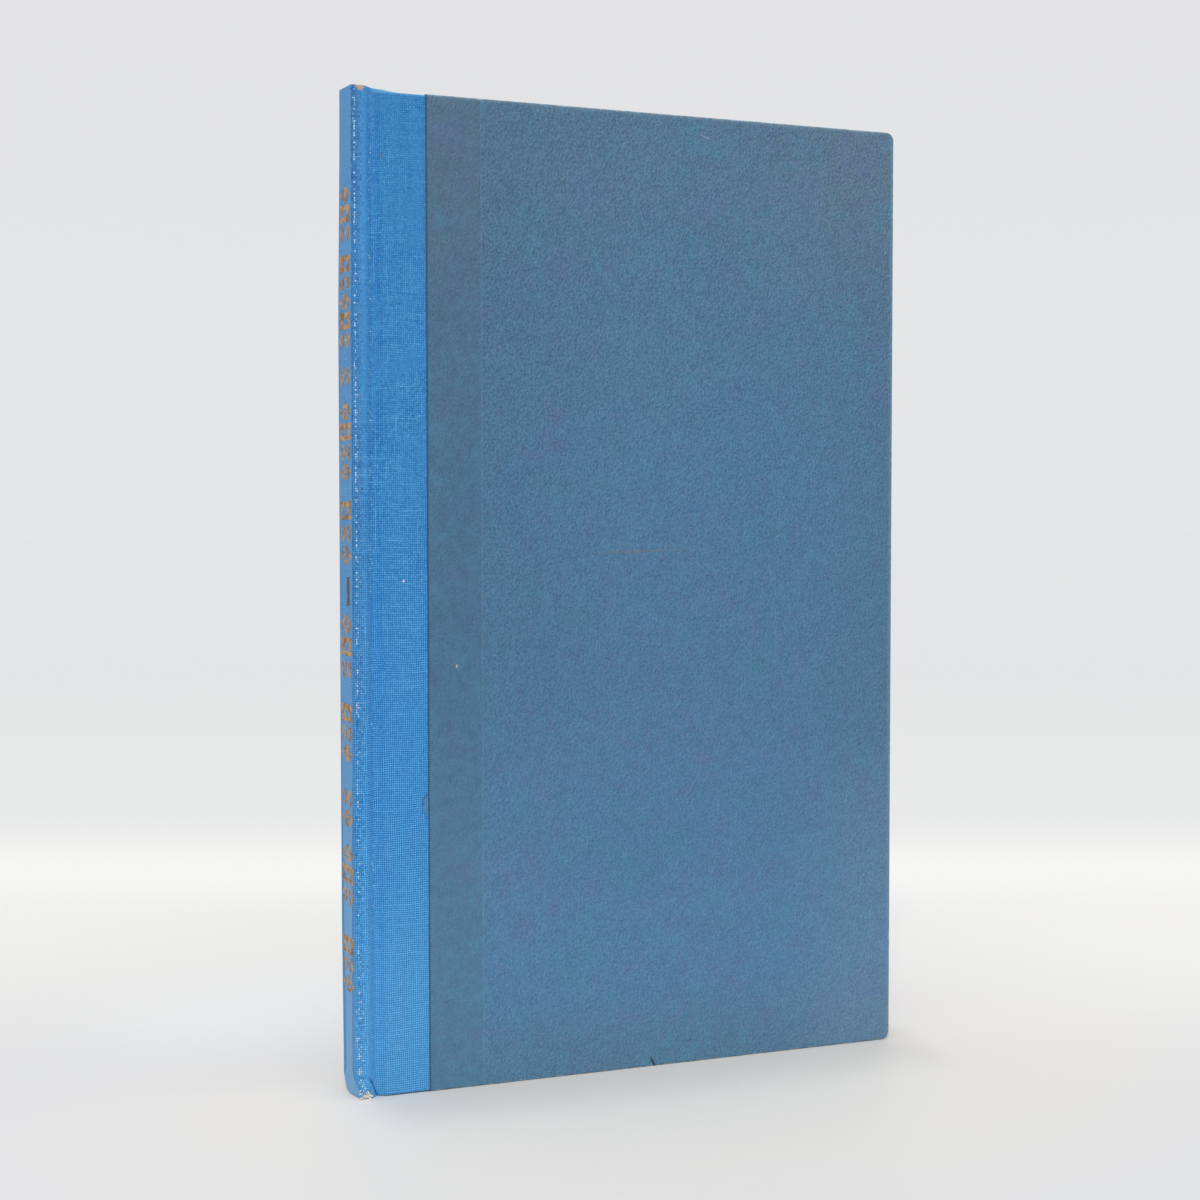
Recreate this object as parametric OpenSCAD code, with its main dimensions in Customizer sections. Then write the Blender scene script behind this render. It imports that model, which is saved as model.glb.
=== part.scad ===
// Quarter-bound hardback book, closed and standing on its tail edge.
// One strip of cloth covers the spine, both joints and the inner part of each board.
// Paper covers the rest of each board and laps over the cloth's edge.
// X runs from the spine to the fore edge, the front cover faces -Y, and Z is up.
// All lengths are in millimetres. The origin is under the middle of the closed book.

/* [Cover] */
// Height of a covered board
cover_h = 222; // [180:1:260]
// Width from the back of the spine to the fore edge
cover_w = 135.6; // [110:0.2:180]
// Thickness of a bare board
board_t = 2.2; // [1.6:0.1:3.2]
// Radius of a board's corners at the fore edge
corner_r = 2; // [1:0.25:4]

/* [Coverings] */
// Thickness of the book cloth
cloth_t = 0.3; // [0.2:0.05:0.45]
// Thickness of the side paper
paper_t = 0.2; // [0.1:0.05:0.25]
// Distance from the back of the spine to the edge of the side paper
cloth_show = 17.1; // [13:0.1:30]
// How far the cloth runs on under the side paper
cloth_under = 12.7; // [5:0.1:16]
// Width of the margins that are turned in round a board's edges
turn_in = 15; // [10:1:20]

/* [Joint] */
// Distance from the back of the spine to the board's inner edge
joint_w = 7.8; // [7.4:0.1:10]
// Distance from the back of the spine to the bottom of the joint groove
groove_at = 5.2; // [4.6:0.1:5.8]
// Depth of the joint groove below the cloth on the board
groove_depth = 1.2; // [0.6:0.1:1.4]
// Distance from the back of the spine to the crest of the roll beside the groove
roll_at = 2.6; // [2.2:0.1:3]
// How far the roll swells past the corner of the spine
roll_swell = 0.15; // [0:0.05:0.4]
// Gap at the hinge line between what moves with a cover and what stays
hinge_gap = 0.3; // [0.2:0.05:0.5]

/* [Spine] */
// Thickness of the card that stiffens the spine
card_t = 1; // [0.6:0.1:1.4]
// How far each side of the spine stands past the cloth on the board
spine_proud = 0.2; // [0:0.05:0.5]
// How far the head of the spine stands above the head of the boards
spine_rise = 0.75; // [0:0.05:1.5]
// Radius of the spine's long outer corners
spine_r = 0.6; // [0.4:0.05:0.9]

/* [Pages] */
// Thickness of the sewn pages, without the endpapers
text_t = 6.8; // [4:0.1:30]
// Number of folded sections that are sewn together
sections = 7; // [4:1:12]
// How far the boards stand past the pages at the head, tail and fore edge
square_w = 3; // [1.5:0.25:5]
// Thickness of an endpaper leaf
leaf_t = 0.2; // [0.1:0.05:0.3]
// Thickness of the mull glued over the back of the pages
mull_t = 0.2; // [0.1:0.05:0.3]
// Thickness of the glue and mull behind the page folds
lining_t = 0.4; // [0.2:0.05:0.6]
// How far the mull stops short of the boards at the head and tail
mull_short = 21; // [21:1:40]
// How far the mull reaches onto the inner face of a board
mull_reach = 20; // [15:1:30]

/* [Hidden] */
$fn = 64;
cut = 1;
curve_steps = 8;
corner_steps = 16;

// Colours, as red, green and blue from 0 to 1
cloth_colour = [0.25, 0.53, 0.79];
paper_colour = [0.31, 0.46, 0.6];
page_colour = [0.93, 0.9, 0.81];
leaf_colour = [0.9, 0.87, 0.78];
board_colour = [0.6, 0.54, 0.43];
card_colour = [0.68, 0.63, 0.52];
mull_colour = [0.85, 0.84, 0.78];

// Places along the width
x_spine = -cover_w / 2;
x_fore = cover_w / 2;
x_card = x_spine + cloth_t;
x_card_back = x_card + card_t;
x_roll = x_spine + roll_at;
x_hinge = x_spine + groove_at;
x_edge = x_spine + joint_w;
x_show = x_spine + cloth_show;
x_hidden = x_show + cloth_under;
x_folds = x_card_back + cloth_t + lining_t;
x_pages = x_fore - square_w;

// Distances from the middle plane, the same on the front and the back
d_text = text_t / 2;
d_leaf = d_text + leaf_t;
d_inner = d_leaf + leaf_t;
d_board = d_inner + board_t;
d_paper = d_board + paper_t;
d_spine = d_board + spine_proud;
d_crest = d_spine + roll_swell;
d_groove = d_board - groove_depth;

// Heights
z_head = cover_h - paper_t;
z_tail = paper_t;
z_spine_head = cover_h + spine_rise;
z_margin = [turn_in, cover_h - turn_in];
z_pages = [square_w, cover_h - square_w];
z_mull = [mull_short, cover_h - mull_short];

// The folds of the sections at the back of the pages
section_t = text_t / sections;
fold_r = 0.65 * section_t;

// A smooth rise from 0 to 1 as t goes from 0 to 1
function ease(t) = (1 - cos(180 * min(max(t, 0), 1))) / 2;
function blend(x, x0, x1, v0, v1) = v0 + (v1 - v0) * ease((x - x0) / (x1 - x0));

// How far the cloth's outer face stands from the middle plane: spine, roll, groove, board
function lift(x) =
  x <= x_roll ? blend(x, x_card_back, x_roll, d_spine, d_crest) :
  x <= x_hinge ? blend(x, x_roll, x_hinge, d_crest, d_groove) :
  blend(x, x_hinge, x_edge, d_groove, d_board);
function lean(x) = atan((lift(x + 0.01) - lift(x - 0.01)) / 0.02);
function under(x, depth) = [x + depth * sin(lean(x)), lift(x) - depth * cos(lean(x))];

// Height of the cloth's head and tail edges across the joint
function head_at(x) = blend(x, x_roll, x_edge, z_spine_head, z_head);
function tail_at(x) = blend(x, x_hinge, x_edge, 0, z_tail);

function spaced(x0, x1) = [for (i = [0 : curve_steps]) x0 + (x1 - x0) * i / curve_steps];
function backward(list) = [for (i = [len(list) - 1 : -1 : 0]) list[i]];
function across(list) = [for (p = list) [p[0], -p[1]]];
function both_sides(half) = concat(backward(across(half)), half);

// The stations at which the curve of the root's cloth is drawn, from the roll to the hinge line
x_root_end = x_hinge - hinge_gap / 2;
x_cover_start = x_hinge + hinge_gap / 2;
root_stations = concat(spaced(x_card_back, x_roll), spaced(x_roll + 0.3, x_root_end));
cover_stations = [for (x = spaced(x_cover_start, x_edge)) if (x < x_edge - 0.01) x];

// A block given by its limits along the width, the thickness and the height
module slab(x, d, z) {
  translate([0, d[1], 0])
    rotate([90, 0, 0])
      linear_extrude(d[1] - d[0])
        polygon([[x[0], z[0]], [x[1], z[0]], [x[1], z[1]], [x[0], z[1]]]);
}

// A plate with two round corners at the fore edge
module plate(x, d, z, r) {
  corner = [x[1] - r, z[0] + r, z[1] - r];
  tail = [for (a = [0 : 90 / corner_steps : 90]) [corner[0] + r * sin(a), corner[1] - r * cos(a)]];
  head = [for (a = [0 : 90 / corner_steps : 90]) [corner[0] + r * cos(a), corner[2] + r * sin(a)]];
  translate([0, d[1], 0])
    rotate([90, 0, 0])
      linear_extrude(d[1] - d[0])
        polygon(concat([[x[0], z[0]]], tail, head, [[x[0], z[1]]]));
}

// Everything between the cloth's tail and head edges, as a prism through the book
module between_edges() {
  stations = concat([x_spine - cut], spaced(x_roll, x_hinge), spaced(x_hinge + 0.2, x_edge), [x_hidden + cut]);
  head = [for (x = stations) [x, head_at(x)]];
  tail = [for (x = stations) [x, tail_at(x)]];
  translate([0, d_crest + cut, 0])
    rotate([90, 0, 0])
      linear_extrude(2 * (d_crest + cut))
        polygon(concat(tail, backward(head)));
}

// The sewn pages: one block with the round folds of its sections at the back
module pages() {
  intersection() {
    slab([x_folds - cut, x_pages], [-d_text, d_text], z_pages);
    union() {
      slab([x_folds + fold_r, x_pages], [-d_text, d_text], z_pages);
      for (i = [0 : sections - 1])
        translate([x_folds + fold_r, (i + 0.5) * section_t - d_text, z_pages[0]])
          cylinder(h = z_pages[1] - z_pages[0], r = fold_r);
    }
  }
}

// The cloth round the spine, from hinge line to hinge line, as a section
module spine_wrap() {
  corner = [for (a = [0 : 15 : 90]) [x_spine + spine_r * (1 - cos(a)), d_spine - spine_r * (1 - sin(a))]];
  outside = concat(corner, [for (x = root_stations) [x, lift(x)]]);
  inside = concat([[x_card, d_spine - cloth_t]], [for (x = root_stations) under(x, cloth_t)]);
  polygon(concat(both_sides(outside), backward(both_sides(inside))));
}

// The margin of that cloth which is turned in behind the card, as a section
module spine_turn_in() {
  joint = [for (x = root_stations) if (x > x_card_back + cloth_t) x];
  outside = concat([[x_card_back, d_spine - cloth_t]], [for (x = joint) under(x, cloth_t)]);
  inside = concat([[x_card_back + cloth_t, d_spine - 2 * cloth_t]], [for (x = joint) under(x, 2 * cloth_t)]);
  polygon(concat(both_sides(outside), backward(both_sides(inside))));
}

// One face of a cover's cloth at a depth below its outer face, from the hinge line to x_end
function cover_face(depth, x_end) =
  concat(
    [for (x = cover_stations) under(x, depth)],
    [for (x = x_end > x_edge ? [x_edge, x_end] : [x_edge]) [x, d_board - depth]]
  );

// A layer of that cloth as a prism
module cover_layer(depth, x_end, z) {
  translate([0, 0, z[0]])
    linear_extrude(z[1] - z[0])
      polygon(concat(cover_face(depth, x_end), backward(cover_face(depth + cloth_t, x_end))));
}

// A cover's cloth: the outer face, the head and tail edges and the turned-in margins
module side_cloth() {
  below = -cut;
  above = z_spine_head + cut;
  intersection() {
    between_edges();
    union() {
      cover_layer(0, x_hidden, [below, above]);
      for (z = [[below, z_margin[0]], [z_margin[1], above]]) {
        cover_layer(cloth_t, x_edge, z);
        slab([x_edge, x_show], [d_inner, d_inner + cloth_t], z);
        slab([x_show, x_hidden], [d_inner + paper_t, d_inner + paper_t + cloth_t], z);
      }
      for (z = [[below, z_tail + cloth_t], [z_head - cloth_t, above]]) {
        slab([x_edge, x_show], [d_inner, d_board], z);
        slab([x_show, x_hidden], [d_inner + paper_t, d_board], z);
      }
    }
  }
}

// A cover's side paper: the outer face and the margins turned in round three edges
module side_paper() {
  difference() {
    plate([x_show, x_fore], [d_inner, d_paper], [0, cover_h], corner_r);
    plate([x_show - cut, x_fore - paper_t], [d_inner + paper_t, d_board], [z_tail, z_head], corner_r - paper_t);
    slab([x_show - cut, x_fore - turn_in], [d_inner - cut, d_inner + 2 * paper_t], z_margin);
  }
}

// The strip of mull that ties the pages to a board
module side_mull() {
  slab([x_cover_start, x_edge + mull_reach], [d_inner, d_inner + mull_t], z_mull);
}

// A bare board: what the coverings and the mull leave of its block
module side_board() {
  difference() {
    plate([x_edge, x_fore - paper_t], [d_inner, d_board], [z_tail, z_head], corner_r - paper_t);
    side_paper();
    side_cloth();
    side_mull();
  }
}

// The half of an endpaper that is pasted to the board
module side_pastedown() {
  slab([x_cover_start, x_pages], [d_leaf, d_inner], z_pages);
}

// The free half of an endpaper, with its fold and the strip up to the hinge line
module side_flyleaf() {
  slab([x_folds + leaf_t, x_pages], [d_text, d_leaf], z_pages);
  slab([x_folds + leaf_t, x_root_end], [d_text, d_inner], z_pages);
  translate([x_folds + leaf_t, d_leaf, z_pages[0]])
    cylinder(h = z_pages[1] - z_pages[0], r = leaf_t);
}

module text_block() {
  color(page_colour)
    pages();
}

// Glue and mull over the folds, with a flange over each endpaper up to the hinge line
module spine_mull() {
  color(mull_colour)
    difference() {
      union() {
        slab([x_folds - lining_t, x_folds + fold_r], [-d_inner, d_inner], z_mull);
        for (d = [-d_inner - mull_t, d_inner])
          slab([x_folds - lining_t, x_root_end], [d, d + mull_t], z_mull);
      }
      pages();
      side_flyleaf();
      mirror([0, 1, 0])
        side_flyleaf();
    }
}

module spine_card() {
  color(card_colour)
    slab([x_card, x_card_back], [cloth_t - d_spine, d_spine - cloth_t], [cloth_t, z_spine_head - cloth_t]);
}

module spine_cloth() {
  below = -cut;
  above = z_spine_head + cut;
  card_room = [cloth_t - d_spine, d_spine - cloth_t];
  color(cloth_colour)
    intersection() {
      between_edges();
      union() {
        translate([0, 0, below])
          linear_extrude(above - below)
            spine_wrap();
        for (z = [[below, z_margin[0]], [z_margin[1], above]])
          translate([0, 0, z[0]])
            linear_extrude(z[1] - z[0])
              spine_turn_in();
        for (z = [[below, cloth_t], [z_spine_head - cloth_t, above]])
          slab([x_card, x_card_back], card_room, z);
      }
    }
}

module front_flyleaf() {
  color(leaf_colour)
    mirror([0, 1, 0])
      side_flyleaf();
}

module back_flyleaf() {
  color(leaf_colour)
    side_flyleaf();
}

module front_board() {
  color(board_colour)
    mirror([0, 1, 0])
      side_board();
}

module back_board() {
  color(board_colour)
    side_board();
}

module front_mull() {
  color(mull_colour)
    mirror([0, 1, 0])
      side_mull();
}

module back_mull() {
  color(mull_colour)
    side_mull();
}

module front_cloth() {
  color(cloth_colour)
    mirror([0, 1, 0])
      side_cloth();
}

module back_cloth() {
  color(cloth_colour)
    side_cloth();
}

module front_paper() {
  color(paper_colour)
    mirror([0, 1, 0])
      side_paper();
}

module back_paper() {
  color(paper_colour)
    side_paper();
}

module front_pastedown() {
  color(leaf_colour)
    mirror([0, 1, 0])
      side_pastedown();
}

module back_pastedown() {
  color(leaf_colour)
    side_pastedown();
}

text_block();
spine_mull();
spine_card();
spine_cloth();
front_flyleaf();
back_flyleaf();
front_board();
front_mull();
front_cloth();
front_paper();
front_pastedown();
back_board();
back_mull();
back_cloth();
back_paper();
back_pastedown();
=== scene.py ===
import math

import bpy
import numpy as np
from mathutils import Matrix, Vector


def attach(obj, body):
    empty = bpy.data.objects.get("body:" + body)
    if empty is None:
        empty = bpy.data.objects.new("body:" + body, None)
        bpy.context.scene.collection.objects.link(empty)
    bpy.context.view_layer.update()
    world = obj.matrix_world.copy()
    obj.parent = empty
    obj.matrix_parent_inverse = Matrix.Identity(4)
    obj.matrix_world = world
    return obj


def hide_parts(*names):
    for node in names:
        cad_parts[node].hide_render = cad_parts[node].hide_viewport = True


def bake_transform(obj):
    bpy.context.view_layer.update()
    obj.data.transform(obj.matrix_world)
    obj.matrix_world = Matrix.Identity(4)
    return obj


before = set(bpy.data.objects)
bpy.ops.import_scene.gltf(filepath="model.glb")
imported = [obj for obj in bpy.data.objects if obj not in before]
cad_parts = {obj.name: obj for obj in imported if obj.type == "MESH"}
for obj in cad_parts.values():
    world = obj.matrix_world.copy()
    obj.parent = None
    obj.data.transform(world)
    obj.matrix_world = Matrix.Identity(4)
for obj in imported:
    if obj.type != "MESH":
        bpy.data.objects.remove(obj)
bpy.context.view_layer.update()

MM = 0.001

# Sizes of the case, the same as those of the CAD model in model.glb
X_SPINE, X_FORE = -67.8, 67.8
X_CARD_BACK, X_ROLL, X_HINGE, X_EDGE = -66.5, -65.2, -62.6, -60.0
X_SHOW, X_HIDDEN = -50.7, -38.0
D_TEXT, D_LEAF, D_INNER, D_BOARD, D_PAPER = 3.4, 3.6, 3.8, 6.0, 6.2
D_SPINE, D_CREST, D_GROOVE = 6.2, 6.35, 4.8
COVER_H, Z_HEAD, Z_TAIL, Z_SPINE_HEAD = 222.0, 221.8, 0.2, 222.75
SPINE_R, CORNER_R, TURN_IN, SQUARE = 0.6, 2.0, 15.0, 3.0
X_FOLDS, X_PAGES = -65.8, 64.8
SECTIONS, LEAVES_PER_SECTION = 7, 8
LEAVES = SECTIONS * LEAVES_PER_SECTION
CLOTH_T, PAPER_T, LEAF_T, CARD_T = 0.25, 0.2, 0.18, 0.9
CARD_GAP = 0.3  # from the cloth's outer face and its head edge to the card's
LEAF_GAP = 0.12  # from the endpapers' edges to the pages'
LEAF_HEAD = COVER_H - SQUARE
X_BEND = X_HINGE - 0.4  # from here to the board's edge the pasted endpaper's points lie closer
HALF_HEIGHT = 0.111  # of the cover, in metres

# The cloth: radius of its turned edges, pitch of the weave across and up, place across the spine's back where its
# two pieces meet, and the length round that back from corner to corner
CLOTH_FOLD_R, PITCH_U, PITCH_W, SEAM = 0.36, 0.48, 0.5, 5.4
STRIP_LENGTH = 2 * (D_SPINE - SPINE_R) + SPINE_R * math.pi / 2

# Marks of use. The spine's back corner has moved in and forward, most at the head and the tail, and up at the head.
# Its front corner is bumped in at the tail, and the back one up.
BACK_IN, BACK_PINCH, HEAD_RISE, FRONT_BUMP, BACK_BUMP = 0.45, 1.2, 1.0, 1.2, 3.8
CREASE_TOP, CREASE_FOOT, CREASE_DEPTH, BULGE = (2.5, 5.1), (5.5, 0.4), 0.22, 0.2
NICK_DEPTH = 0.1

# Heights of the gilt groups on the spine, each from its top to its foot. GILT[DASH] is a single dash.
GILT = (
    (201.5, 188.9), (186.5, 165.8), (162.5, 157.5), (154.4, 136.7), (132.8, 118.1), (115.7, 109.3),
    (107.7, 92.8), (87.7, 74.3), (68.9, 59.7), (56.3, 42.4), (35.6, 22.6),
)
DASH = 5

# Camera, fitted to the cover's edges: picture side and focal length in pixels, place in metres, turns in degrees
PICTURE_SIDE, FOCAL_LENGTH, SENSOR = 1200.0, 1975.3, 36.0
CAMERA_PLACE = (-0.18107, -0.42688, 0.12891)
YAW, TILT, ROLL = -22.204, 90.0 - 2.4, -0.038
camera_data = bpy.data.cameras.new("camera")
camera_data.sensor_fit = "HORIZONTAL"
camera_data.sensor_width = SENSOR
camera_data.lens = FOCAL_LENGTH * SENSOR / PICTURE_SIDE
camera_data.clip_start, camera_data.clip_end = 0.01, 50.0
camera = bpy.data.objects.new("camera", camera_data)
bpy.context.scene.collection.objects.link(camera)
camera.matrix_world = (
    Matrix.Translation(CAMERA_PLACE)
    @ Matrix.Rotation(math.radians(YAW), 4, "Z")
    @ Matrix.Rotation(math.radians(TILT), 4, "X")
    @ Matrix.Rotation(math.radians(ROLL), 4, "Z")
)
bpy.context.scene.camera = camera
bpy.context.scene.view_settings.view_transform = "Standard"


# Shader building: a Value wraps a node's output, so that patterns are written as sums and products
def node_math(operation):
    """A method that feeds a Value and what follows it to a math node."""
    return lambda self, *others: self.look.math(operation, self, *others)


class Value:
    def __init__(self, look, socket):
        self.look, self.socket = look, socket

    __add__ = __radd__ = node_math("ADD")
    __mul__ = __rmul__ = node_math("MULTIPLY")
    __sub__, __truediv__, __pow__ = node_math("SUBTRACT"), node_math("DIVIDE"), node_math("POWER")
    abs, sin = node_math("ABSOLUTE"), node_math("SINE")
    floor, fract = node_math("FLOOR"), node_math("FRACT")
    max, min, over = node_math("MAXIMUM"), node_math("MINIMUM"), node_math("GREATER_THAN")

    def __rsub__(self, other):
        return self.look.math("SUBTRACT", other, self)

    def bell(self, centre, width):
        """1 at centre, falling to 0 at width from it."""
        return self.look.step((self - centre).abs(), width, 0.0)


class Look:
    def __init__(self, name):
        self.material = bpy.data.materials.new(name)
        self.material.use_nodes = True
        self.tree = self.material.node_tree
        self.tree.nodes.clear()
        self.output = self.tree.nodes.new("ShaderNodeOutputMaterial")

    def put(self, socket, value):
        if isinstance(value, Value):
            self.tree.links.new(value.socket, socket)
        else:
            socket.default_value = value

    def node(self, kind, inputs=(), **settings):
        node = self.tree.nodes.new("ShaderNode" + kind)
        for key, value in settings.items():
            setattr(node, key, value)
        for key, value in dict(inputs).items():
            self.put(node.inputs[key], value)
        return node

    def out(self, node, output=0):
        return Value(self, node.outputs[output])

    def math(self, operation, *values):
        node = self.tree.nodes.new("ShaderNodeMath")
        node.operation = operation
        for socket, value in zip(node.inputs, values):
            self.put(socket, value)
        return self.out(node)

    def parts(self, vector):
        split = self.node("SeparateXYZ", {"Vector": vector})
        return [self.out(split, i) for i in range(3)]

    def attribute(self, name):
        """The three parts of a stored vector, and the vector."""
        vector = self.out(self.node("Attribute", attribute_name=name), "Vector")
        return (*self.parts(vector), vector)

    def vector(self, x, y, z=0.0):
        return self.out(self.node("CombineXYZ", {"X": x, "Y": y, "Z": z}))

    def noise(self, vector, scale, detail=2.0, roughness=0.5):
        """Centred on 0, mostly within half a unit."""
        inputs = {"Vector": vector, "Scale": scale, "Detail": detail, "Roughness": roughness}
        return self.out(self.node("TexNoise", inputs), "Fac") - 0.5

    def white(self, vector):
        """An even random number from 0 to 1 for each vector."""
        return self.out(self.node("TexWhiteNoise", {"Vector": vector}), "Value")

    def step(self, value, start, end):
        """Smooth rise from 0 at start to 1 at end."""
        inputs = {"Value": value, "From Min": start, "From Max": end}
        return self.out(self.node("MapRange", inputs, interpolation_type="SMOOTHSTEP"), "Result")

    def mix(self, factor, a, b):
        node = self.node("Mix", {"Factor": factor}, data_type="RGBA")
        for socket, colour in zip([s for s in node.inputs if s.type == "RGBA"], (a, b)):
            self.put(socket, colour if isinstance(colour, Value) else linear(colour))
        return Value(self, [s for s in node.outputs if s.type == "RGBA"][0])

    def lighten(self, colour, factor):
        """A colour times a number."""
        node = self.node("VectorMath", operation="SCALE")
        self.put(node.inputs[0], colour)
        self.put(node.inputs["Scale"], factor)
        return self.out(node)

    def add_grey(self, colour, amount):
        """A colour plus the same number in red, green and blue."""
        node = self.node("VectorMath", operation="ADD")
        self.put(node.inputs[0], colour)
        self.put(node.inputs[1], self.vector(amount, amount, amount))
        return self.out(node)

    def finish(self, colour, roughness, height, depth, strength, **shader):
        """Principled shader, with height from 0 to 1 standing for depth millimetres."""
        inputs = {key.replace("_", " "): value for key, value in shader.items()}
        principled = self.node("BsdfPrincipled", {"Base Color": colour, "Roughness": roughness, **inputs})
        bump = self.node("Bump", {"Height": height, "Distance": depth * MM, "Strength": strength})
        self.tree.links.new(bump.outputs[0], principled.inputs["Normal"])
        self.tree.links.new(principled.outputs[0], self.output.inputs["Surface"])
        return self.material


def distance(a, b):
    """How far the place (a, b) is from (0, 0)."""
    return (a * a + b * b) ** 0.5


def linear(colour):
    """A colour written from 0 to 255 as linear red, green, blue and 1."""
    parts = [c / 255.0 for c in colour]
    return [c / 12.92 if c <= 0.04045 else ((c + 0.055) / 1.055) ** 2.4 for c in parts] + [1.0]


# Mesh building
def add_mesh(name, points, faces, material, attributes=None, sharp=35.0):
    mesh = bpy.data.meshes.new(name)
    mesh.from_pydata((np.asarray(points, float) * MM).tolist(), [], [list(map(int, f)) for f in faces])
    mesh.validate()
    mesh.polygons.foreach_set("use_smooth", [True] * len(mesh.polygons))
    mesh.set_sharp_from_angle(angle=math.radians(sharp))
    for key, values in dict(attributes or {}, rest=points).items():
        held = mesh.attributes.new(key, "FLOAT_VECTOR", "POINT")
        held.data.foreach_set("vector", np.asarray(values, np.float32).ravel())
    mesh.materials.append(material)
    mesh.update()
    piece = bpy.data.objects.new(name, mesh)
    bpy.context.scene.collection.objects.link(piece)
    return piece


def point_normals(points, faces):
    """Normals of the points, as the mean of the unit normals of the faces round them."""
    corners = points[faces]
    face_normals = np.cross(corners[:, 2] - corners[:, 0], corners[:, 3] - corners[:, 1])
    face_normals /= np.maximum(np.linalg.norm(face_normals, axis=1, keepdims=True), 1e-12)
    normals = np.zeros_like(points)
    for i in range(4):
        np.add.at(normals, faces[:, i], face_normals)
    return normals / np.maximum(np.linalg.norm(normals, axis=1, keepdims=True), 1e-12)


def closed_sheet(name, points, faces, thickness, material, attributes=None):
    """A closed mesh whose outer side is the given quads, with the other side at thickness below it."""
    points, faces = np.asarray(points, float), np.asarray(faces, int)
    count = len(points)
    under = points - thickness * point_normals(points, faces)
    edges = {}
    for face in faces:
        for a, b in zip(face, np.roll(face, -1)):
            edges[(int(a), int(b))] = True
    rim = [(b, a, a + count, b + count) for (a, b) in edges if (b, a) not in edges]
    every = [tuple(f) for f in faces] + [tuple(f[::-1] + count) for f in faces] + rim
    doubled = {key: np.concatenate([value, value]) for key, value in (attributes or {}).items()}
    return add_mesh(name, np.concatenate([points, under]), every, material, doubled)


def grid_faces(rows, columns, turned=False):
    """Quads of a grid of points, turned to face the other way if asked."""
    index = np.arange(rows * columns).reshape(rows, columns)
    quads = np.stack([index[:-1, :-1], index[1:, :-1], index[1:, 1:], index[:-1, 1:]], -1).reshape(-1, 4)
    return quads[:, ::-1] if turned else quads


def wall(first, second):
    """Quads between two rings of point numbers."""
    return list(zip(first, np.roll(first, -1), np.roll(second, -1), second))


def quarter_turn(steps):
    """Pairs (1 - cos, 1 - sin) of angles from 0 to 90 degrees."""
    return [(1 - math.cos(a), 1 - math.sin(a)) for a in np.linspace(0, math.pi / 2, steps)]


def ease(t):
    """Smooth rise from 0 to 1 as t does."""
    return (1.0 - np.cos(np.pi * np.clip(t, 0.0, 1.0))) / 2.0


def between(x, x0, x1, v0, v1):
    """Smooth change from v0 at x0 to v1 at x1."""
    return v0 + (v1 - v0) * ease((np.asarray(x, float) - x0) / (x1 - x0))


def lift(x):
    """Distance of the cloth's outer face from the middle plane across spine, roll, groove and board."""
    on_spine = between(x, X_CARD_BACK, X_ROLL, D_SPINE, D_CREST)
    into_groove = between(x, X_ROLL, X_HINGE, D_CREST, D_GROOVE)
    onto_board = between(x, X_HINGE, X_EDGE, D_GROOVE, D_BOARD)
    return np.where(x <= X_ROLL, on_spine, np.where(x <= X_HINGE, into_groove, onto_board))


def settle(points):
    """Points of a new spine as they have set in the used one."""
    points = np.array(points, float)
    x, y, z = points.T
    across = np.clip((y + D_SPINE) / (2 * D_SPINE), 0.0, 1.0) * (1.0 - ease((x - X_ROLL) / (X_EDGE - X_ROLL)))
    ends = 0.25 + 0.75 * ease((z - 165.0) / 57.0) + 0.35 * ease((45.0 - z) / 45.0)
    points[:, 0] += BACK_IN * ends * across
    points[:, 1] -= BACK_PINCH * ends * across
    points[:, 2] += HEAD_RISE * ease((z - 150.0) / 70.0) * across
    near_corner = np.clip((-1.1 - y) / 5.1, 0.0, 1.0) * (1.0 - np.clip((x - X_CARD_BACK - 0.3) / 3.6, 0.0, 1.0))
    points[:, 0] += FRONT_BUMP * np.clip(1.0 - z / 5.5, 0.0, 1.0) * near_corner
    return points


def back_bump(way):
    """Height of the bumped tail edge of the spine, by the way from its back corner."""
    return BACK_BUMP * np.clip(1.0 - way / 4.4, 0.0, 1.0) ** 2


def fold_profile(total):
    """Pairs (way in, way from the edge) round a turned edge, whose outer and inner face are total apart."""
    radius = min(CLOTH_FOLD_R, total / 2 - 0.005)
    first = [(radius * c, radius * s) for c, s in quarter_turn(6)]
    return first + [(total - d, down) for d, down in first[::-1]]


def cloth_section(sign):
    """Outer face of the cloth as points (x, y), from the spine's corner to the hidden edge. The front has sign -1."""
    corner = [(X_SPINE + SPINE_R * c, D_SPINE - SPINE_R * s) for c, s in quarter_turn(7)]
    xs = np.concatenate([
        np.linspace(X_CARD_BACK - 0.3, X_ROLL, 6),
        np.linspace(X_ROLL, X_HINGE, 11)[1:],
        np.linspace(X_HINGE, X_EDGE - 0.5, 9)[1:],
        np.linspace(X_EDGE - 0.5, X_EDGE, 6)[1:],
        np.linspace(X_EDGE, X_SHOW, 20)[1:],
        np.linspace(X_SHOW, X_HIDDEN, 9)[1:],
    ])
    line = corner + [(float(x), float(lift(x))) for x in xs]
    return np.array([(x, sign * d) for x, d in line])


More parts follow.
